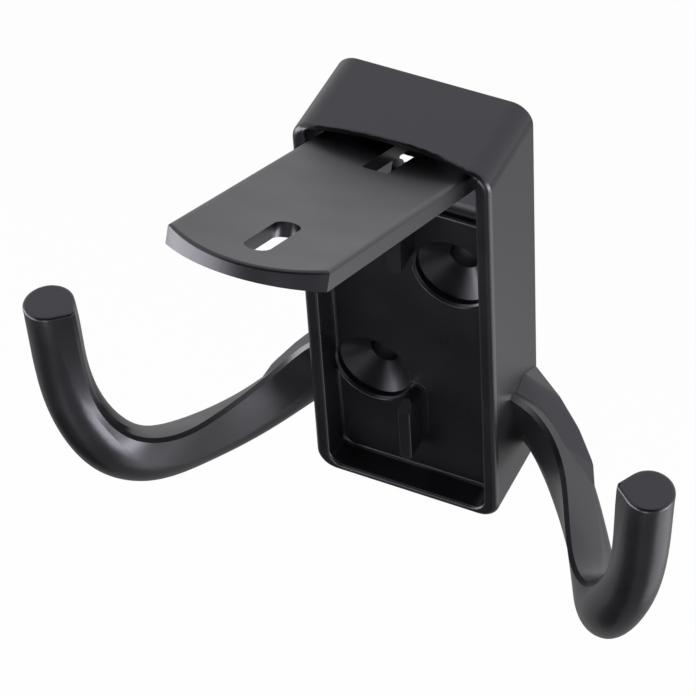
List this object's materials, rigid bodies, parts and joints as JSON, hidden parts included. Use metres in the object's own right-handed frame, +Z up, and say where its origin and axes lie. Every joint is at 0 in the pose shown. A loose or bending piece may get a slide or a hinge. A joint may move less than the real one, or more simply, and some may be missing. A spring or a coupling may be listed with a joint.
{
  "type": "coat hook",
  "caption": "Wall-mounted coat hook with upswept side prongs on a narrow recessed housing, and a hinged cover flap that folds down over its screws.",
  "frame": {"origin": "middle of the housing's flat wall face", "axes": "+Z up the wall, +X to the right when facing the wall, the hook stands out towards -Y"},
  "size_m": [0.1098, 0.0663, 0.1004],
  "materials": {
    "painted_casting": "satin black",
    "steel_pin": "plain turned steel"
  },
  "bodies": {
    "hook": {"hook_body": "painted_casting", "hinge_pin": "steel_pin"},
    "flap": {"cover_flap": "painted_casting"}
  },
  "joints": [
    {"name": "flap_hinge", "type": "hinge", "parent": "hook", "child": "flap", "pos_m": [0, -0.0104, 0.0267], "axis": [1, 0, 0], "range_deg": [0, 116]}
  ]
}
